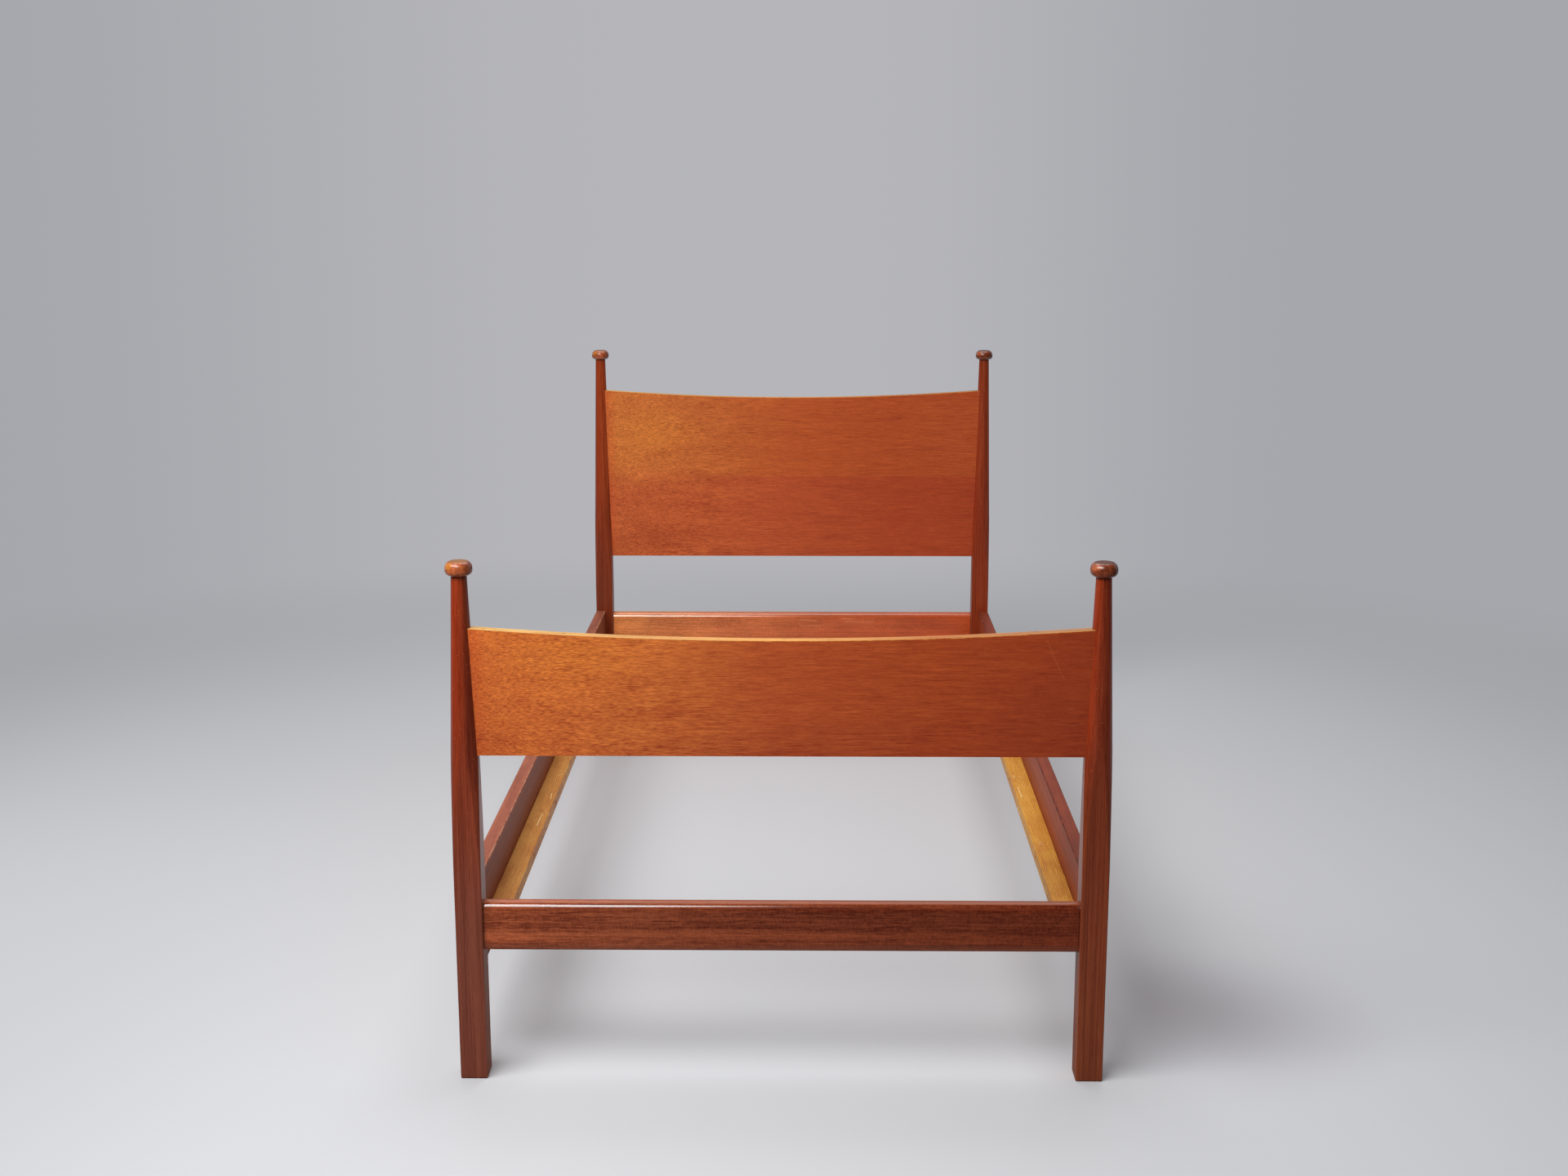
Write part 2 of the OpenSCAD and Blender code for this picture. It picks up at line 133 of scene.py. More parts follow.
class NodeTree:
    """Nodes of a material or the world, made one by one, on shared coordinates."""

    def __init__(self, owner):
        owner.use_nodes = True
        self.nodes = owner.node_tree.nodes
        self.links = owner.node_tree.links
        self.nodes.clear()
        self.place = self.node("ShaderNodeTexCoord", out="Object")

    def node(self, kind, settings=None, values=(), out=0):
        """Adds a node: settings first, then values or links, and gives its output."""
        made = self.nodes.new(kind)
        for key, value in (settings or {}).items():
            if key == "stops":
                self.fill_ramp(made.color_ramp, value)
            else:
                setattr(made, key, value)
        pairs = values.items() if isinstance(values, dict) else enumerate(values)
        for key, value in pairs:
            if isinstance(value, Socket):
                self.links.new(value.out, made.inputs[key])
            else:
                made.inputs[key].default_value = value
        return Socket(self, made.outputs[out]) if made.outputs else made

    def fill_ramp(self, ramp, stops):
        """Gives a new ramp its stops, each a place from 0 to 1 and a linear colour."""
        while len(ramp.elements) < len(stops):
            ramp.elements.new(1.0)
        for element, (position, colour) in zip(ramp.elements, stops):
            element.position = position
            element.color = (*colour, 1.0)

    def vector(self, operation, *values, out="Vector"):
        """Vector Math; out is "Value" where the result is a number."""
        return self.node("ShaderNodeVectorMath", {"operation": operation}, values, out)

    def part(self, vector, index):
        """One coordinate of a vector."""
        return self.node("ShaderNodeSeparateXYZ", None, (vector,), index)

    def joined(self, *parts):
        """A vector of three coordinates."""
        return self.node("ShaderNodeCombineXYZ", None, parts)

    def axis(self, index):
        """One coordinate of the shading point."""
        return self.part(self.place, index)

    def shifted(self, offset):
        """The coordinates moved by a vector."""
        return self.vector("ADD", self.place, offset)

    def scaled(self, vector, factors):
        return self.vector("MULTIPLY", vector, factors)

    def distance(self, point, stretch=(1.0, 1.0, 1.0)):
        """Distance from a point, with each axis stretched by a factor."""
        away = self.scaled(self.shifted(tuple(-Vector(point))), stretch)
        return self.vector("LENGTH", away, out="Value")

    def noise(self, vector, detail=2.0, roughness=0.5, distortion=0.0, out=0):
        """Fractal noise about 0.5 at one feature per unit of the vector."""
        values = {
            "Vector": vector, "Scale": 1.0, "Detail": detail,
            "Roughness": roughness, "Distortion": distortion,
        }
        return self.node("ShaderNodeTexNoise", None, values, out)

    def ramp(self, value, stops):
        return self.node("ShaderNodeValToRGB", {"stops": stops}, (value,))

    def mix(self, factor, a, b):
        """Colour b over colour a by a factor."""
        values = {MIX_FACTOR: factor, MIX_A: self.colour(a), MIX_B: self.colour(b)}
        return self.node("ShaderNodeMix", {"data_type": "RGBA"}, values, MIX_RESULT)

    def colour(self, value):
        return value if isinstance(value, Socket) else (*value, 1.0)


class Finish(NodeTree):
    """A material under construction."""

    def __init__(self, name):
        self.material = bpy.data.materials.new(name)
        super().__init__(self.material)

    def surface(self, **values):
        """Ends the material with a Principled shader, its sockets named in small letters."""
        named = {}
        for key, value in values.items():
            named[key.replace("_", " ").title().replace("Ior", "IOR")] = value
        shader = self.node("ShaderNodeBsdfPrincipled", None, named)
        self.node("ShaderNodeOutputMaterial", None, {"Surface": shader})
        return self.material


class Wood(Finish):
    """A wood finish on one node, with noises drawn out along its grain.

    The grain strays by up to half of wander, in metres.
    """

    def __init__(self, node, grain, seed, wander=0.0):
        super().__init__(node)
        self.grain = grain
        self.low, self.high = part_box(node)
        self.middle = (self.low + self.high) / 2
        self.base = self.shifted(tuple(Vector(seed) - self.middle))
        if wander:
            drift = self.noise(self.drawn(9.0, 24.0), out="Color")
            drift = self.vector("SUBTRACT", drift, (0.5,) * 3)
            self.base = self.vector("ADD", self.base, self.scaled(drift, (wander,) * 3))

    def drawn(self, lengthwise, crosswise):
        """Coordinates for a noise, with features per metre along and across the grain."""
        factors = [crosswise] * 3
        factors[self.grain] = lengthwise
        return self.scaled(self.base, tuple(factors))

    def count_along(self, count):
        """Replaces the lengthwise coordinate of the noises to come by a count of features."""
        parts = [self.part(self.base, index) for index in (X, Y, Z)]
        parts[self.grain] = count
        self.base = self.joined(*parts)

    def figure(self, lengthwise, crosswise, detail=2.0, roughness=0.5, distortion=0.0):
        """Noise about 0, with so many features per metre along and across the grain."""
        vector = self.drawn(lengthwise, crosswise)
        return self.noise(vector, detail, roughness, distortion) - 0.5

    def pores(self, lengthwise, crosswise, share=0.38):
        """1 in short dark pores along the grain, 0 between them; more with a higher share."""
        return self.noise(self.drawn(lengthwise, crosswise), 1.0).above(share, 0.3)

    def specks(self, size):
        """1 in sparse round specks of about a size."""
        return self.noise(self.scaled(self.base, (0.5 / size,) * 3), 0.0).above(0.8, 0.83)

    def spread(self, reach):
        """Place along X from minus a reach to the reach, as 0 to 1."""
        return (self.axis(X) + reach) / (2 * reach)

    def inset(self, axis):
        """Distance in from the nearer end of the node's box along an axis."""
        half = (self.high[axis] - self.low[axis]) / 2
        return half - abs(self.axis(axis) - self.middle[axis])

    def long_edges(self, width):
        """1 on the long edges of the node's box, and 0 from a width inside them."""
        first, second = [axis for axis in (X, Y, Z) if axis != self.grain]
        return self.inset(first).larger(self.inset(second)).above(width, 0.25 * width)

    def shaded(self, colour, change, warmth=1.3):
        """Colour brighter by a share; green and blue change more, so darker is redder."""
        change = change.larger(-0.5)
        other = change * warmth + 1.0
        tint = self.node("ShaderNodeCombineColor", None, (change + 1.0, other, other))
        return self.scaled(colour, tint)

    def relief(self, height, strength=0.3, depth=0.2):
        """Bump of a height pattern, its depth in millimetres."""
        values = {"Strength": strength, "Distance": depth * MM, "Height": height}
        return self.node("ShaderNodeBump", None, values)

    def stroke(self, start, end, width):
        """1 on a straight line between two points, fading over its width.

        Share of the way to the nearest point = (p - a) . (b - a) / |b - a|^2, held in
        0 to 1; the mask falls with the distance from that point.
        """
        start, end = Vector(start), Vector(end)
        run = end - start
        near = self.shifted(tuple(-start))
        share = self.vector("DOT_PRODUCT", near, tuple(run / run.length_squared), out="Value")
        share = share.larger(0.0).smaller(1.0)
        foot = self.scaled(self.joined(share, share, share), tuple(run))
        gap = self.vector("DISTANCE", near, foot, out="Value")
        return gap.above(width, 0.3 * width)

    def scratched(self, colour, scratches, width, strength, tone):
        """Colour with straight scratches, each from a point to a point."""
        for start, end in scratches:
            colour = self.mix(self.stroke(start, end, width) * strength, colour, tone)
        return colour


def srgb(*levels):
    """Linear colour from screen levels of 0 to 255, by the sRGB curve."""
    def linear(level):
        share = level / 255
        return share / 12.92 if share <= 0.04045 else ((share + 0.055) / 1.055) ** 2.4
    return tuple(linear(level) for level in levels)


def placed(tones):
    """Ramp stops from pairs of a place and a tone."""
    return [(place, srgb(*tone)) for place, tone in tones]


def evenly(tones):
    """Ramp stops at even steps."""
    return placed([(index / (len(tones) - 1), tone) for index, tone in enumerate(tones)])


# Posts: tones by height in metres
POST_TONES = {
    "foot_post_left": [
        (0.24, (125, 62, 43)), (0.42, (130, 52, 26)), (0.6, (138, 46, 15)), (0.8, (150, 54, 22)),
    ],
    "foot_post_right": [
        (0.0, (130, 59, 29)), (0.4, (124, 51, 21)), (0.56, (138, 50, 20)), (0.8, (140, 48, 16)),
    ],
    "head_post_left": [
        (0.3, (124, 49, 20)), (0.45, (140, 54, 20)), (0.6, (155, 60, 20)), (0.92, (156, 60, 18)),
    ],
    "head_post_right": [
        (0.0, (140, 56, 26)), (0.3, (150, 57, 22)), (0.5, (146, 52, 20)), (0.92, (150, 60, 26)),
    ],
}
# How dark the painted shade on the right-hand side of each post is
POST_PAINTED_SHADE = {
    "foot_post_left": 0.5, "foot_post_right": 0.22, "head_post_left": 0.1, "head_post_right": 0.0,
}
# Millimetres right of a post's middle: where its painted light on the left starts and is full,
# and where its painted shade on the right starts and is full
POST_SIDES = {"left": (4, -10, 3, 9), "right": (-4, -13, -5, 1)}
# Heights between which the painted light, the painted shade and the pale painted reflection on
# the inner face grow
PAINTED_LIGHT_HEIGHTS = (0.42, 0.6)
PAINTED_SHADE_HEIGHTS = (0.4, 0.56)
PAINTED_REFLECTION_HEIGHTS = (0.26, 0.08)
POST_PAINTED_LIGHT = srgb(162, 52, 22)
POST_PAINTED_SHADE_TONE = srgb(52, 12, 4)
POST_PAINTED_REFLECTION = srgb(180, 118, 94)
POST_WORN = srgb(160, 84, 54)
POST_SPECK = srgb(196, 120, 84)
POST_NECK_SHADOW = srgb(60, 22, 12)


def post_wood(node, side, seed):
    """Red-brown post, grain upright, browner at the foot and redder where turned.

    The turned part has painted light, redder, at its left and painted shade at its right.
    The foot's inner face has a pale painted reflection, and painted shadow darkens the neck
    under the finial.
    """
    finish = Wood(node, Z, seed)
    stripe = finish.figure(1.4, 120.0, 2.0, 0.55)
    streaks = finish.figure(5.0, 420.0, 3.0, 0.65)
    fibres = finish.figure(36.0, 800.0, 2.0, 0.6)
    pores = finish.pores(90.0, 800.0)
    height = finish.axis(Z)
    beside = finish.axis(X) - finish.middle.x
    colour = finish.ramp(height + stripe * 0.08, placed(POST_TONES[node]))
    change = stripe * 0.65 + streaks * 1.3 + fibres * 0.6 - pores * 0.2
    colour = finish.shaded(colour, change)
    light_start, light_full, shade_start, shade_full = [edge * MM for edge in POST_SIDES[side]]
    # Painted light: the turned part is redder and lighter at its left, towards the lamp
    painted_light_side = beside.above(light_start, light_full) * height.above(*PAINTED_LIGHT_HEIGHTS)
    colour = finish.mix(painted_light_side * 0.35, colour, POST_PAINTED_LIGHT)
    # Painted shade: the turned part is darker at its right, away from the lamp
    painted_shade_side = beside.above(shade_start, shade_full) * height.above(*PAINTED_SHADE_HEIGHTS)
    colour = finish.mix(painted_shade_side * POST_PAINTED_SHADE[node], colour, POST_PAINTED_SHADE_TONE)
    # Painted reflection: the foot's inner face is paler, as it mirrors the pale floor
    inner_face = abs(finish.middle.x) - POST_HALF
    inner = (abs(finish.axis(X)) - inner_face).above(1.2 * MM, 0.2 * MM)
    colour = finish.mix(inner * height.above(*PAINTED_REFLECTION_HEIGHTS) * 0.3, colour, POST_PAINTED_REFLECTION)
    colour = finish.mix(finish.long_edges(1.6 * MM) * 0.25, colour, POST_WORN)
    colour = finish.mix(finish.specks(1.0 * MM) * 0.5, colour, POST_SPECK)
    # Painted shadow: the neck is dark under the finial
    neck = (height - finish.high.z).above(-5 * MM, -1 * MM)
    colour = finish.mix(neck * 0.6, colour, POST_NECK_SHADOW)
    return finish.surface(
        base_color=colour, roughness=0.3 + streaks * 0.25, specular_ior_level=0.4,
        normal=finish.relief(fibres * 0.6 + streaks * 0.5 - pores * 0.4),
    )


FINIAL_TONES = {
    "left": {
        "dark": (108, 48, 24), "middle": (164, 78, 40), "light": (190, 102, 50),
        "disc": (126, 88, 42), "worn": (222, 142, 44), "front": (212, 116, 70),
    },
    "right": {
        "dark": (72, 31, 16), "middle": (122, 54, 27), "light": (150, 68, 33),
        "disc": (70, 34, 20), "worn": (196, 106, 64), "front": (122, 54, 27),
    },
}
FINIAL_PAINTED_SHADE = srgb(70, 28, 16)
FINIAL_PAINTED_UNDER_SHADE = srgb(76, 30, 16)
# Ends of the worn spot, in millimetres from the middle of the crown
FINIAL_WORN = ((-17, -7, -7), (-11, -15, -6))


def finial_wood(node, seed, tones):
    """Warm blotched wood with painted shade to the right and below, and an amber worn spot.

    The disc on top is browner and dull, and the rest has a coat.
    """
    finish = Wood(node, Z, seed)
    streaks = finish.figure(150.0, 230.0, 3.0, 0.6)
    blotch = finish.figure(190.0, 200.0, 3.0, 0.6)
    colour = finish.ramp(blotch * 0.8 + streaks * 0.5 + 0.5, placed([
        (0.3, tones["dark"]), (0.5, tones["middle"]), (0.7, tones["light"]),
    ]))
    # Painted shade on the right side, away from the lamp
    turned = (finish.axis(X) - finish.middle.x).above(2 * MM, 19 * MM)
    colour = finish.mix(turned * 0.5, colour, FINIAL_PAINTED_SHADE)
    front = (finish.axis(Y) - finish.middle.y).above(-8 * MM, -19 * MM)
    colour = finish.mix(front * (0.3 - turned * 0.3), colour, srgb(*tones["front"]))
    colour = finish.shaded(colour, streaks * 0.5 - finish.pores(260.0, 900.0) * 0.25)
    crown = finish.high.z - FINIAL_H + FINIAL_CROWN
    top = Vector((finish.middle.x, finish.middle.y, crown))
    start, end = [top + Vector(point) * MM for point in FINIAL_WORN]
    worn = finish.stroke(start, end, 7 * MM)
    colour = finish.mix(worn * (0.6 + blotch * 1.5), colour, srgb(*tones["worn"]))
    depth = crown - finish.axis(Z)
    # Painted shade under the belly, more on the right
    under = depth.above(12 * MM, 19 * MM)
    colour = finish.mix(under * (turned * 0.3 + 0.3), colour, FINIAL_PAINTED_UNDER_SHADE)
    disc = depth.above(1.6 * MM, 0.6 * MM)
    colour = finish.mix(disc * 0.7, colour, srgb(*tones["disc"]))
    return finish.surface(
        base_color=colour, roughness=0.26 + blotch * 0.2 + disc * 0.3,
        coat_weight=0.5 - disc * 0.5, coat_roughness=0.14,
        normal=finish.relief(streaks + blotch * 0.5, 0.25),
    )


# Cross rails: tones from left to right, and brightness by the share of the height, where
# 0.5 is plain, which holds bands of the wood and, on the foot rail, painted shade just below
# the gloss; how far below the ridge the gloss reaches, and its coat's IOR; scuffs on the
# front as x and z of their ends
CROSS_RAILS = {
    "foot_cross_rail": {
        "seed": (0.3, 0.4, 0.5),
        "tones": [
            (152, 73, 42), (130, 61, 35), (124, 56, 31), (120, 52, 27), (118, 49, 25),
        ],
        "heights": [
            (0.0, 0.36), (0.08, 0.44), (0.15, 0.55), (0.28, 0.65), (0.4, 0.51), (0.53, 0.34),
            (0.62, 0.38), (0.74, 0.52), (0.81, 0.42), (0.88, 0.2), (0.92, 0.3), (1.0, 0.52),
        ],
        "gloss_depth": 8 * MM, "gloss_ior": 1.72, "contrast": 1.0, "scuffs": [],
    },
    "head_cross_rail": {
        "seed": (2.3, 1.4, 0.9),
        "tones": [(226, 136, 76), (212, 113, 64), (193, 89, 49), (192, 82, 43)],
        "heights": [(0.0, 0.5), (1.0, 0.52)],
        "gloss_depth": 11.5 * MM, "gloss_ior": 2.0, "contrast": 0.45,
        "scuffs": [
            ((0.02, 0.258), (0.06, 0.256)), ((0.125, 0.2615), (0.15, 0.2605)),
            ((0.13, 0.2535), (0.2, 0.253)), ((0.02, 0.243), (0.07, 0.2425)),
        ],
    },
}
RAIL_PAINTED_REFLECTION = srgb(122, 74, 56)
RAIL_PAINTED_LIGHT = srgb(196, 112, 70)
RAIL_SCUFF = srgb(230, 142, 96)
RAIL_JOINT = srgb(40, 16, 10)
RAIL_WANDER = 3 * MM


def cross_rail_wood(node, seed, tones, heights, gloss_depth, gloss_ior, contrast, scuffs):
    """Ribbon-striped cross rail, grain level, its round top polished to a line of gloss.

    Short flecks cross the ribbons. The gloss fades to the right and along the ridge, which
    has painted light; the bottom edge has a grey painted reflection, the foot rail's tones by
    height hold painted shade just below the gloss, and a dark line shows where the rail meets a post.
    """
    finish = Wood(node, X, seed, RAIL_WANDER)
    stripe = finish.figure(1.1, 66.0, 2.0, 0.5)
    streaks = finish.figure(6.0, 300.0, 3.0, 0.65)
    fibres = finish.figure(60.0, 640.0, 2.0, 0.6)
    fleck = finish.figure(360.0, 170.0, 1.0, 0.5)
    zone = finish.figure(8.0, 16.0, 2.0, 0.5)
    pores = finish.pores(110.0, 640.0, 0.4)
    across = finish.spread(0.46)
    rise = (finish.axis(Z) - finish.low.z) / (finish.high.z - finish.low.z)
    rise = rise + finish.figure(2.2, 14.0) * 0.2
    # Brightness by height: bands of the wood, and on the foot rail painted shade below the gloss line
    band = finish.ramp(rise, [(height, (level,) * 3) for height, level in heights])
    colour = finish.ramp(finish.spread(0.42) + stripe * 0.3, evenly(tones))
    fine = (across * -0.6 + 1.2) * contrast
    change = stripe * (1.6 * contrast) + (streaks * 1.5 + fibres * 1.6) * fine
    change = change + fleck * (0.1 + 0.7 * contrast) + zone * (0.9 - 0.4 * contrast)
    change = change - pores * (0.12 * contrast)
    colour = finish.shaded(colour, change + band - 0.5)
    front = finish.low.y
    scuffs = [((x0, front, z0), (x1, front, z1)) for (x0, z0), (x1, z1) in scuffs]
    colour = finish.scratched(colour, scuffs, 1.8 * MM, 0.6, RAIL_SCUFF)
    joint = finish.inset(X).above(RAIL_TENON + 2.6 * MM, RAIL_TENON + 0.2 * MM)
    colour = finish.mix(joint * 0.6, colour, RAIL_JOINT)
    # Painted reflection: the bottom edge is greyer, as it mirrors the pale floor
    colour = finish.mix(rise.above(0.17, 0.04) * 0.45, colour, RAIL_PAINTED_REFLECTION)
    depth = finish.high.z - finish.axis(Z)
    crown = depth.above(gloss_depth, gloss_depth - 2 * MM)
    # Painted light: the ridge of the round top is lighter
    ridge = depth.above(3.4 * MM, 1.6 * MM)
    colour = finish.mix(ridge * 0.25, colour, RAIL_PAINTED_LIGHT)
    gloss = crown * (0.86 - ridge * 0.78) * (1.0 - across * 0.62)
    return finish.surface(
        base_color=colour, roughness=0.28 + streaks * 0.12 - crown * 0.1,
        specular_ior_level=0.2, coat_weight=0.06 + gloss, coat_roughness=0.07,
        coat_ior=gloss_ior, normal=finish.relief(fibres * 0.5 + streaks * 0.5 - pores * 0.4, 0.18),
    )


# Darker to the right, partly the wood's own tone and partly painted falloff of the lamp's light
FOOTBOARD_TONES = [
    (211, 108, 44), (207, 109, 46), (183, 81, 34), (174, 71, 25), (157, 58, 20),
]
# Boards: tones from left to right above and below the leaf joint, whose height is leaf,
# darker to the right partly by the wood's own tone and partly by painted falloff of light;
# the tone of the warm patches; the x and z of a painted pool of light; how much darker the
# bottom is; and scratches on the front as x and z of their ends. The footboard is one leaf.
BOARDS = {
    "footboard": {
        "seed": (1.2, 0.0, 0.7), "upper": FOOTBOARD_TONES, "lower": FOOTBOARD_TONES,
        "warm": (226, 132, 50), "leaf": 0.4, "painted_light_pool": (-0.3, 0.645), "dusk": 0.14,
        "scratches": [
            ((0.3785, 0.670), (0.3889, 0.645)), ((0.3895, 0.6435), (0.4041, 0.6134)),
            ((0.3905, 0.5485), (0.4175, 0.545)), ((0.4175, 0.545), (0.4337, 0.5487)),
        ],
    },
    "headboard": {
        "seed": (7.7, 6.5, 7.2),
        "upper": [
            (216, 120, 51), (206, 106, 46), (195, 88, 37), (189, 81, 33), (185, 79, 34),
        ],
        "lower": [
            (196, 92, 44), (200, 91, 44), (192, 82, 40), (184, 73, 33), (177, 68, 31),
        ],
        "warm": (218, 120, 58), "leaf": 0.611, "painted_light_pool": (-0.33, 0.72), "dusk": 0.0,
        "scratches": [],
    },
}
BOARD_PAINTED_LIGHT = srgb(228, 136, 46)
BOARD_RED = srgb(206, 84, 34)
BOARD_WORN = srgb(226, 150, 66)
BOARD_SCRATCH = srgb(214, 128, 74)
BOARD_WANDER = 3 * MM
# Pores per metre along the grain: at the right end, more at the left end, and their fading
PORES_RIGHT = 34.0
PORES_LEFT = 240.0
PORES_FADE = 8.5
# A scratch's line lies this far in front of the face, so that it only grazes the wood
SCRATCH_GAP = 0.5 * MM


def veneer_wood(node, seed, upper, lower, warm, leaf, painted_light_pool, dusk, scratches):
    """Orange-brown veneer, its pores short dots at the left end and long lines at the right.

    Pores per metre along the grain = right + left e^(-fade s), where s is the distance in
    from the left end. The integral of that counts them, and is the lengthwise coordinate.
    Below the leaf joint, softer to the left, the wood has other tones. The left end is red
    for a thumb's width, with a yellow painted pool of light beyond it. A worn line follows
    the dished top edge, whose height = top - dip + dip (x / half length)^2.
    """
    finish = Wood(node, X, seed, BOARD_WANDER)
    inward = finish.axis(X) - finish.low.x
    mottled = inward.above(0.5, 0.12)
    zone = finish.figure(3.5, 8.0, 3.0, 0.55)
    patch = finish.figure(16.0, 52.0, 3.0, 0.6)
    short = finish.figure(150.0, 720.0, 1.0, 0.6)
    decay = inward * -PORES_FADE
    decay = decay.math("EXPONENT", decay)
    finish.count_along(inward * PORES_RIGHT - decay * (PORES_LEFT / PORES_FADE))
    band = finish.figure(0.05, 26.0)
    line = finish.figure(0.35, 330.0, 3.0, 0.65)
    dash = finish.figure(1.1, 680.0, 1.0, 0.6, 0.3)
    place = finish.spread(0.44) + zone * 0.25
    softness = inward.above(0.36, 0.15) * 0.09 + 0.002
    below = ((leaf - finish.axis(Z)) / softness + 0.5).above(0.0, 1.0)
    colour = finish.mix(
        below, finish.ramp(place, evenly(upper)), finish.ramp(place, evenly(lower)),
    )
    # Painted pool of light near the upper left, nearest the lamp
    far = finish.distance((painted_light_pool[0], 0.0, painted_light_pool[1]), (1.0, 0.0, 1.7))
    colour = finish.mix(far.above(0.14, 0.0) * 0.3, colour, BOARD_PAINTED_LIGHT)
    colour = finish.mix(patch.above(0.02, 0.3) * (mottled * 0.28 + 0.06), colour, srgb(*warm))
    colour = finish.mix(inward.above(34 * MM, 0.0) * 0.6, colour, BOARD_RED)
    change = (
        zone * 0.3 + band * (0.2 + mottled * 0.25) + patch * (0.15 + mottled * 0.15)
        + short * (0.35 + mottled * 0.25) + line * (0.6 + mottled * 0.1)
        + dash * (0.55 + mottled * 0.5)
    )
    rise = (finish.axis(Z) - finish.low.z) / (finish.high.z - finish.low.z)
    colour = finish.shaded(colour, change + (rise - 1.0) * dusk, 1.6)
    across = finish.axis(X)
    arc = across * across * (BOARD_DIP / BOARD_HALF ** 2) + (finish.high.z - BOARD_DIP)
    ragged = finish.figure(3.0, 200.0, 2.0, 0.6) * (3.5 * MM)
    worn = (arc - finish.axis(Z) + ragged).above(1.0 * MM, 0.5 * MM)
    colour = finish.mix(worn * 0.9, colour, BOARD_WORN)
    front = finish.low.y - SCRATCH_GAP
    scratches = [((x0, front, z0), (x1, front, z1)) for (x0, z0), (x1, z1) in scratches]
    colour = finish.scratched(colour, scratches, 0.9 * MM, 0.35, BOARD_SCRATCH)
    return finish.surface(
        base_color=colour, roughness=0.42 + dash * 0.1, specular_ior_level=0.3,
        normal=finish.relief(dash * 0.5 + line * 0.4, 0.15, 0.15),
    )


LIPPING_TONES = [
    (226, 176, 92), (212, 152, 78), (236, 166, 80), (196, 116, 48), (178, 124, 76),
]
LIPPING_WEAR_AND_HIGHLIGHT = srgb(255, 226, 170)
LIPPING_NICK = srgb(120, 62, 30)


def lipping_wood(node, seed):
    """Golden lipping with fine level grain and dark nicks, browner to the right.

    Its edges are pale at the left, partly worn and partly a painted highlight.
    """
    finish = Wood(node, X, seed)
    streaks = finish.figure(7.0, 330.0, 3.0, 0.6)
    fibres = finish.figure(50.0, 900.0)
    colour = finish.ramp(finish.spread(0.45), evenly(LIPPING_TONES))
    colour = finish.shaded(colour, streaks * 0.8 + fibres * 0.5)
    # Pale edge at the left: wear and a painted highlight, fading to the right
    edge = finish.inset(Y).above(1.8 * MM, 0.6 * MM)
    wear_and_highlight = edge * finish.axis(X).above(0.0, -0.12) * (streaks * 3.0 + 0.8)
    colour = finish.mix(wear_and_highlight.above(0.0, 1.0) * 0.6, colour, LIPPING_WEAR_AND_HIGHLIGHT)
    nick = finish.noise(finish.drawn(60.0, 260.0)).above(0.36, 0.29)
    colour = finish.mix(nick * 0.7, colour, LIPPING_NICK)
    return finish.surface(
        base_color=colour, roughness=0.4 + fibres * 0.1, specular_ior_level=0.35,
    )


def core_wood(node, seed):
    """Plain pale board core."""
    finish = Wood(node, X, seed)
    streaks = finish.figure(5.0, 170.0, 3.0, 0.6)
    colour = finish.ramp(streaks + 0.5, placed([(0.3, (182, 148, 104)), (0.7, (214, 184, 138))]))
    return finish.surface(base_color=colour, roughness=0.7 + streaks * 0.1)


# Tones of the face, the top and the line on the inner top edge. The right rail's face, turned to the
# lamp, is lighter partly by painted light; the left rail's top holds a painted reflection; the edge
# line is a pale painted highlight with wear on the left rail, and dark on the right rail.
SIDE_RAIL_TONES = {
    "left": {"face": (136, 66, 40), "worn": (210, 150, 116), "top": (158, 88, 65)},
    "right": {"face": (156, 68, 38), "worn": (66, 28, 20), "top": (135, 58, 34)},
}


def side_rail_wood(node, seed, tones):
    """Brown side rail, grain lengthwise, with a broken line along its inner top edge."""
    finish = Wood(node, Y, seed)
    stripe = finish.figure(1.2, 80.0)
    streaks = finish.figure(6.0, 260.0, 3.0, 0.6)
    fibres = finish.figure(50.0, 700.0, 3.0, 0.6)
    cloud = finish.figure(30.0, 90.0, 2.0, 0.5)
    inner_face = finish.low.x if finish.low.x > 0 else finish.high.x
    side = abs(finish.axis(X) - inner_face)
    depth = finish.high.z - finish.axis(Z)
    top = depth.above(1.2 * MM, 0.2 * MM)
    colour = finish.mix(top, srgb(*tones["face"]), srgb(*tones["top"]))
    change = stripe * 0.7 + streaks * 0.8 + fibres * 0.6 + cloud * 0.4
    colour = finish.shaded(colour, change)
    # Line on the inner top edge: on the left rail a pale painted highlight with wear, on the right
    # rail dark
    edge = side.larger(depth + cloud * (3 * MM)).above(2.6 * MM, 1.2 * MM)
    worn = edge * (finish.figure(45.0, 60.0, 3.0, 0.6) + 0.5).above(0.36, 0.62)
    colour = finish.mix(worn * 0.75, colour, srgb(*tones["worn"]))
    return finish.surface(
        base_color=colour, roughness=0.5 + streaks * 0.15, specular_ior_level=0.2,
        normal=finish.relief(fibres * 0.6 + streaks * 0.4),
    )


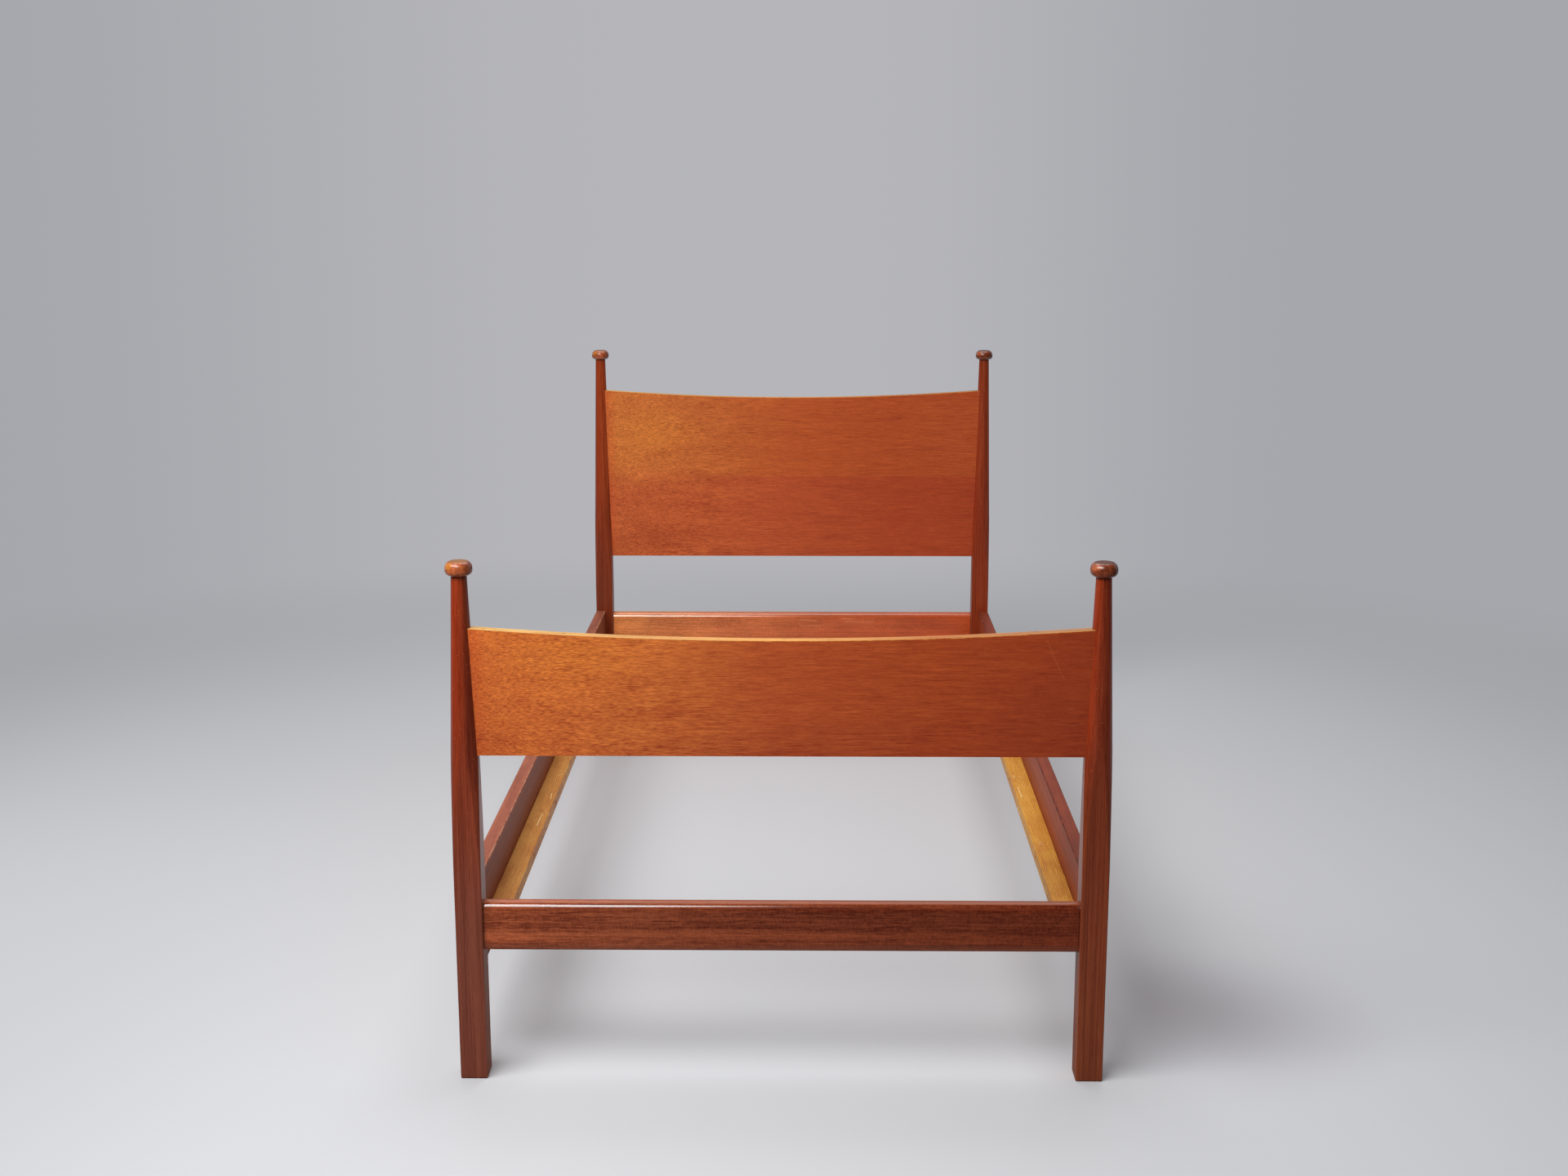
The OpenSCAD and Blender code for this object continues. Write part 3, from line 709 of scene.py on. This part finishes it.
# Ledgers: tones from dark to light, the tone of the pale rings, the x and y of the two knots,
# and scratches on the top as x and y of their ends
LEDGERS = {
    # The left ledger's tones are darker than the right's: painted shade from the left side rail
    "left": {
        "tones": [(185, 114, 48), (206, 139, 64), (218, 156, 77)],
        "early": (240, 198, 128),
        "knots": [(-0.436, -0.36), (-0.430, 0.31)],
        "scratches": [
            ((-0.432, -0.379), (-0.4335, -0.417)), ((-0.4337, -0.417), (-0.4327, -0.441)),
            ((-0.4347, -0.151), (-0.427, -0.145)), ((-0.431, -0.26), (-0.429, -0.29)),
        ],
    },
    "right": {
        "tones": [(202, 132, 46), (218, 155, 58), (229, 174, 74)],
        "early": (248, 218, 140),
        "knots": [(0.4355, -0.532), (0.428, 0.12)],
        "scratches": [
            ((0.4257, -0.142), (0.4285, -0.161)), ((0.437, -0.148), (0.4405, -0.155)),
            ((0.428, -0.215), (0.430, -0.274)), ((0.431, -0.524), (0.439, -0.535)),
        ],
    },
}
LEDGER_KNOT = srgb(186, 108, 44)
LEDGER_SCRATCH = srgb(246, 214, 150)
LEDGER_WANDER = 4 * MM


def ledger_wood(node, seed, tones, early, knots, scratches):
    """Yellow softwood ledger: growth rings about its knots, and pale scratches.

    Rings = sine of the distance across the grain, bent by a slow noise and by the knots.
    """
    finish = Wood(node, Y, seed, LEDGER_WANDER)
    top = finish.high.z
    bend = finish.figure(9.0, 22.0, 2.0, 0.5)
    streaks = finish.figure(8.0, 330.0, 3.0, 0.6)
    fibres = finish.figure(60.0, 800.0)
    first, second = [finish.distance((x, y, top), (1.0, 0.4, 1.0)) for x, y in knots]
    swirl = bend * 5.0
    for far in (first, second):
        swirl = swirl + far.above(16 * MM, 2 * MM) * 2.2
    phase = (finish.axis(X) * 300.0 + finish.axis(Z) * 90.0 + swirl) * (2 * math.pi)
    ring = phase.math("SINE", phase)
    late_wood = ring.above(0.2, 0.95)
    dark, middle, light = tones
    colour = finish.ramp(bend * 0.8 + streaks * 0.6 + 0.5, placed([
        (0.3, dark), (0.5, middle), (0.7, light),
    ]))
    colour = finish.shaded(colour, fibres * 0.5 - late_wood * 0.2, 1.5)
    early_wood = ring.above(-0.6, -1.0) * (finish.figure(30.0, 300.0) * 2.0).above(0.0, 0.3)
    colour = finish.mix(early_wood * 0.4, colour, srgb(*early))
    knot = first.smaller(second).above(4.5 * MM, 2.5 * MM)
    colour = finish.mix(knot * 0.7, colour, LEDGER_KNOT)
    scratches = [((x0, y0, top), (x1, y1, top)) for (x0, y0), (x1, y1) in scratches]
    colour = finish.scratched(colour, scratches, 1.6 * MM, 0.7, LEDGER_SCRATCH)
    return finish.surface(
        base_color=colour, roughness=0.5 + streaks * 0.15, specular_ior_level=0.3,
        normal=finish.relief(fibres * 0.5 - late_wood * 0.6, 0.35, 0.3),
    )


# Screen level of each steel fitting at the ends of the side rails, and of the ledgers' screws
FITTING_LEVELS = {"slot_plate": 150, "hook_plate": 146, "slot_screws": 132, "hook_screws": 132}
LEDGER_SCREW_LEVEL = 70


def steel(node, seed, level):
    """Dull steel with a rolled grain and darker stains."""
    finish = Finish(node)
    base = finish.shifted(seed)
    grain = finish.noise(finish.scaled(base, (900.0, 900.0, 60.0)), 3.0, 0.6)
    stain = finish.noise(finish.scaled(base, (160.0,) * 3), 3.0, 0.6)
    colour = finish.ramp(grain * 0.6 + stain * 0.5, placed([
        (0.35, (level - 34, level - 36, level - 36)), (0.75, (level, level, level + 2)),
    ]))
    return finish.surface(base_color=colour, metallic=0.9, roughness=0.34 + stain * 0.2)


def lathe(name, centre, radii, heights, steps=64):
    """Closed turned mesh: radius and height along a profile, carried round the axis.

    A point at a turn = centre + radius (cos turn, sin turn), at its height. The first and
    last radius are 0, and become the two poles.
    """
    turns = np.arange(steps) * (2 * math.pi / steps)
    ring_r = np.asarray(radii)[1:-1, None]
    ring_z = np.asarray(heights)[1:-1, None]
    grid = np.stack([
        centre[0] + ring_r * np.cos(turns), centre[1] + ring_r * np.sin(turns),
        ring_z + 0 * turns,
    ], axis=-1)
    rows = len(ring_r)
    poles = [[centre[0], centre[1], heights[0]], [centre[0], centre[1], heights[-1]]]
    points = np.concatenate([grid.reshape(-1, 3), poles])
    here = np.arange(rows * steps).reshape(rows, steps)
    after = np.roll(here, -1, axis=1)
    quads = np.stack([here[:-1], after[:-1], after[1:], here[1:]], axis=-1).reshape(-1, 4)
    bottom, top = rows * steps, rows * steps + 1
    low_fan = np.stack([after[0], here[0], np.full(steps, bottom)], axis=-1)
    top_fan = np.stack([here[-1], after[-1], np.full(steps, top)], axis=-1)
    mesh = bpy.data.meshes.new(name)
    mesh.from_pydata(points.tolist(), [], quads.tolist() + low_fan.tolist() + top_fan.tolist())
    mesh.shade_smooth()
    mesh.set_sharp_from_angle(angle=math.radians(50))
    made = bpy.data.objects.new(name, mesh)
    bpy.context.scene.collection.objects.link(made)
    return made


def quarter(inner, outer, middle, half, steps=20):
    """Quarter of a squared ellipse: radius and height from its side to its end.

    For a turn t from 0 to a right angle, radius = inner + (outer - inner) cos(t)^share and
    height = middle + half sin(t)^share, where share = 2 / power.
    """
    turn = np.linspace(0, math.pi / 2, steps + 1)
    share = 2 / FINIAL_POWER
    radius = inner + (outer - inner) * np.cos(turn).clip(0) ** share
    return radius, middle + half * np.sin(turn) ** share


def make_finial(node, seed, tones):
    """Turned finial on its spigot, from the node's own box."""
    low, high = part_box(node)
    centre = (low + high) / 2
    outer = (high.x - low.x) / 2
    seat = high.z - FINIAL_H
    belly = seat + FINIAL_BELLY
    under_r, under_z = quarter(NECK_R, outer, belly, -FINIAL_BELLY)
    over_r, over_z = quarter(FINIAL_DISC_R, outer, belly, FINIAL_CROWN - FINIAL_BELLY)
    radii = np.concatenate([[0, SPIGOT_R, SPIGOT_R], under_r[::-1], over_r[1:], [0]])
    heights = np.concatenate([[low.z, low.z, seat], under_z[::-1], over_z[1:], [seat + FINIAL_CROWN]])
    made = lathe("turned_" + node, centre, radii, heights)
    made.data.materials.append(finial_wood(node, seed, tones))
    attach(made, "bed_ends")
    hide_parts(node)


def dress(node, material):
    """Puts a material on a carried-over node."""
    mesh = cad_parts[node].data
    mesh.materials.clear()
    mesh.materials.append(material)


# Moves the seeds of each end, so that the two have other grain
END_SHIFTS = {"foot": 0.0, "head": 3.1}


def dress_corner(end, side, sign):
    """Post, finial and steel fittings of one corner."""
    shift = END_SHIFTS[end]
    seed = (1.7 * sign + shift, 2.3 + shift, 0.9 * sign)
    post = f"{end}_post_{side}"
    dress(post, post_wood(post, side, seed))
    make_finial(f"{end}_finial_{side}", (4.4 + sign, 1.3 + shift, 2.2), FINIAL_TONES[side])
    for fitting, level in FITTING_LEVELS.items():
        node = f"{end}_{fitting}_{side}"
        dress(node, steel(node, seed, level))


def dress_side(side, sign):
    """Side rail, its ledger and the ledger's screws, and the two corners of one side."""
    for end in ("foot", "head"):
        dress_corner(end, side, sign)
    rail = f"side_rail_{side}"
    dress(rail, side_rail_wood(rail, (0.8 * sign, 5.0 + sign, 1.1), SIDE_RAIL_TONES[side]))
    ledger = f"ledger_{side}"
    dress(ledger, ledger_wood(ledger, (2.8 * sign, 7.0 + sign, 3.1), **LEDGERS[side]))
    screws = f"ledger_screws_{side}"
    dress(screws, steel(screws, (0.4 * sign, 0.2, 0.1), LEDGER_SCREW_LEVEL))


def dress_board(board, look, seed):
    """Core, lipping and the two veneers of one board; only the front is scratched."""
    front, back = f"{board}_front_veneer", f"{board}_back_veneer"
    dress(front, veneer_wood(front, **look))
    dress(back, veneer_wood(back, **{**look, "scratches": []}))
    dress(f"{board}_core", core_wood(f"{board}_core", (seed, 0.2, 0.1)))
    dress(f"{board}_lipping", lipping_wood(f"{board}_lipping", (seed, 0.6, 0.2)))


def make_camera():
    """Camera at the photograph's angle, from its yaw, downward pitch and roll."""
    ahead = Vector((
        math.sin(YAW) * math.cos(PITCH), math.cos(YAW) * math.cos(PITCH), -math.sin(PITCH),
    ))
    right = Vector((math.cos(YAW), -math.sin(YAW), 0))
    up = right.cross(ahead)
    rolled_right = right * math.cos(ROLL) + up * math.sin(ROLL)
    rolled_up = up * math.cos(ROLL) - right * math.sin(ROLL)
    data = bpy.data.cameras.new("camera")
    data.lens = LENS
    data.sensor_width = SENSOR
    camera = bpy.data.objects.new("camera", data)
    turn = Matrix((rolled_right, rolled_up, -ahead)).transposed()
    camera.matrix_world = Matrix.Translation(EYE) @ turn.to_4x4()
    bpy.context.scene.collection.objects.link(camera)
    bpy.context.scene.camera = camera


def area_light(name, place, target, width, height, power):
    """Soft rectangular lamp at a place, facing a target."""
    data = bpy.data.lights.new(name, "AREA")
    data.shape = "RECTANGLE"
    data.size = width
    data.size_y = height
    data.energy = power
    lamp = bpy.data.objects.new(name, data)
    lamp.location = place
    lamp.rotation_mode = "QUATERNION"
    lamp.rotation_quaternion = (Vector(target) - Vector(place)).to_track_quat("-Z", "Y")
    bpy.context.scene.collection.objects.link(lamp)


def make_lights():
    """Wide soft lamp at the left front, and a larger weak one overhead."""
    area_light("key", (-1.27, -2.22, 2.6), (0.05, -0.5, 0.3), width=2.55, height=1.2, power=84)
    area_light("overhead", (0.0, 0.8, 3.6), (0.0, 0.6, 0.0), width=3.0, height=3.0, power=60)


# Backdrop: plain and lit, and the slopes of a line of sight between which it is lit
BACKDROP = srgb(166, 167, 172)
LIT_BACKDROP = srgb(181, 181, 186)
LIT_FROM = (-0.45, -0.08)
LIT_TO = (0.26, 0.02)
# Light of the world on what isn't glossy, and what gloss shows in front of the bed
AMBIENT = (0.172, 0.174, 0.180)
DARK_FRONT = (0.02, 0.02, 0.021)


def backdrop(tree, across, ahead):
    """Plain grey, lighter about the middle, from the slope of a line to the eye."""
    slope = across / ahead.larger(0.1)
    lit = slope.above(*LIT_FROM) * slope.above(*LIT_TO) * ahead.above(0.1, 0.6)
    return tree.mix(lit, BACKDROP, LIT_BACKDROP)


def make_world():
    """Grey backdrop to the eye, dark towards the front in gloss, and dim otherwise.

    The dim light is stronger from the right, which fills the sides turned from the key.
    """
    world = bpy.data.worlds.new("studio")
    bpy.context.scene.world = world
    tree = NodeTree(world)
    eye = tree.node("ShaderNodeLightPath", out="Is Camera Ray")
    glossy = tree.node("ShaderNodeLightPath", out="Is Glossy Ray")
    across, ahead = tree.axis(X), tree.axis(Y)
    mirrored = tree.mix(ahead.above(-0.25, 0.55), DARK_FRONT, BACKDROP)
    dim = tree.node(
        "ShaderNodeVectorMath", {"operation": "SCALE"}, {0: AMBIENT, "Scale": across * 0.8 + 1.0},
    )
    shade = tree.mix(glossy, dim, mirrored)
    shade = tree.mix(eye, shade, backdrop(tree, across, ahead))
    background = tree.node("ShaderNodeBackground", None, {"Color": shade})
    tree.node("ShaderNodeOutputWorld", None, {"Surface": background})


# Floor: a disc, and the distance from its middle between which it turns into the backdrop
FLOOR_R = 90.0
FLOOR_STEPS = 96
FLOOR_MIDDLE = (0.0, -0.3, 0.0)
FLOOR_FADE = (1.7, 3.6)
PAPER = srgb(213, 214, 217)
PAINTED_LIGHT_PAPER = srgb(240, 240, 244)
BLACK = (0.0, 0.0, 0.0)
# Painted shadow beside the right foot post: its middle, radius and linear colour
PAINTED_SHADOW = (0.68, -0.76, 0.0)
PAINTED_SHADOW_R = 0.33
PAINTED_SHADOW_TINT = (0.11, 0.05, 0.09)
# Painted light, paler, in a band under the left side rail: its x and half its width
PAINTED_LIGHT_X = -0.43
PAINTED_LIGHT_HALF = 0.12


def floor_paper(finish):
    """Pale paper: dark to gloss in front of the bed, with a little painted shade at the left front.

    It has a painted shadow by the right foot post, and painted light makes it paler in a band
    under the left side rail.
    """
    glossy = finish.node("ShaderNodeLightPath", out="Is Glossy Ray")
    across, ahead = finish.axis(X), finish.axis(Y)
    near = glossy * ahead.above(0.3, -1.1)
    # Painted shade: a little darker at the left front
    left = across.above(-0.4, -1.3) * (ahead.above(0.2, -1.2) * 0.11 + 0.05)
    paper = finish.mix(near * 0.88 + left, PAPER, BLACK)
    # Painted shadow beside the right foot post
    paper = finish.mix(finish.distance(PAINTED_SHADOW).above(PAINTED_SHADOW_R, 0.0) * 0.29, paper, PAINTED_SHADOW_TINT)
    # Painted light: paler in a band under the left side rail, lightening its shadow
    painted_light_band = abs(across - PAINTED_LIGHT_X).above(PAINTED_LIGHT_HALF, 0.0)
    painted_light_band = painted_light_band * ahead.above(-0.6, 0.2) * ahead.above(0.95, 0.6)
    return finish.mix(painted_light_band * 0.5, paper, PAINTED_LIGHT_PAPER)


def make_floor():
    """Round pale floor at z 0, whose far part turns into the backdrop's plain grey."""
    turns = np.arange(FLOOR_STEPS) * (2 * math.pi / FLOOR_STEPS)
    rim = np.stack([FLOOR_R * np.cos(turns), FLOOR_R * np.sin(turns), 0 * turns], axis=-1)
    mesh = bpy.data.meshes.new("floor")
    mesh.from_pydata(rim.tolist(), [], [list(range(FLOOR_STEPS))])
    floor = bpy.data.objects.new("floor", mesh)
    bpy.context.scene.collection.objects.link(floor)
    finish = Finish("floor")
    paper = finish.node("ShaderNodeBsdfDiffuse", None, {"Color": floor_paper(finish)})
    grey = backdrop(finish, finish.axis(X) - EYE.x, finish.axis(Y) - EYE.y)
    plain = finish.node("ShaderNodeEmission", None, {"Color": grey, "Strength": 1.0})
    eye = finish.node("ShaderNodeLightPath", out="Is Camera Ray")
    far = finish.distance(FLOOR_MIDDLE).above(*FLOOR_FADE) * eye
    mixed = finish.node("ShaderNodeMixShader", None, (far, paper, plain))
    finish.node("ShaderNodeOutputMaterial", None, {"Surface": mixed})
    floor.data.materials.append(finish.material)


make_camera()
make_lights()
make_world()
make_floor()
dress_side("left", -1)
dress_side("right", 1)
for rail, look in CROSS_RAILS.items():
    dress(rail, cross_rail_wood(rail, **look))
dress_board("footboard", BOARDS["footboard"], 0.0)
dress_board("headboard", BOARDS["headboard"], 6.5)
bpy.context.scene.view_settings.view_transform = "Standard"
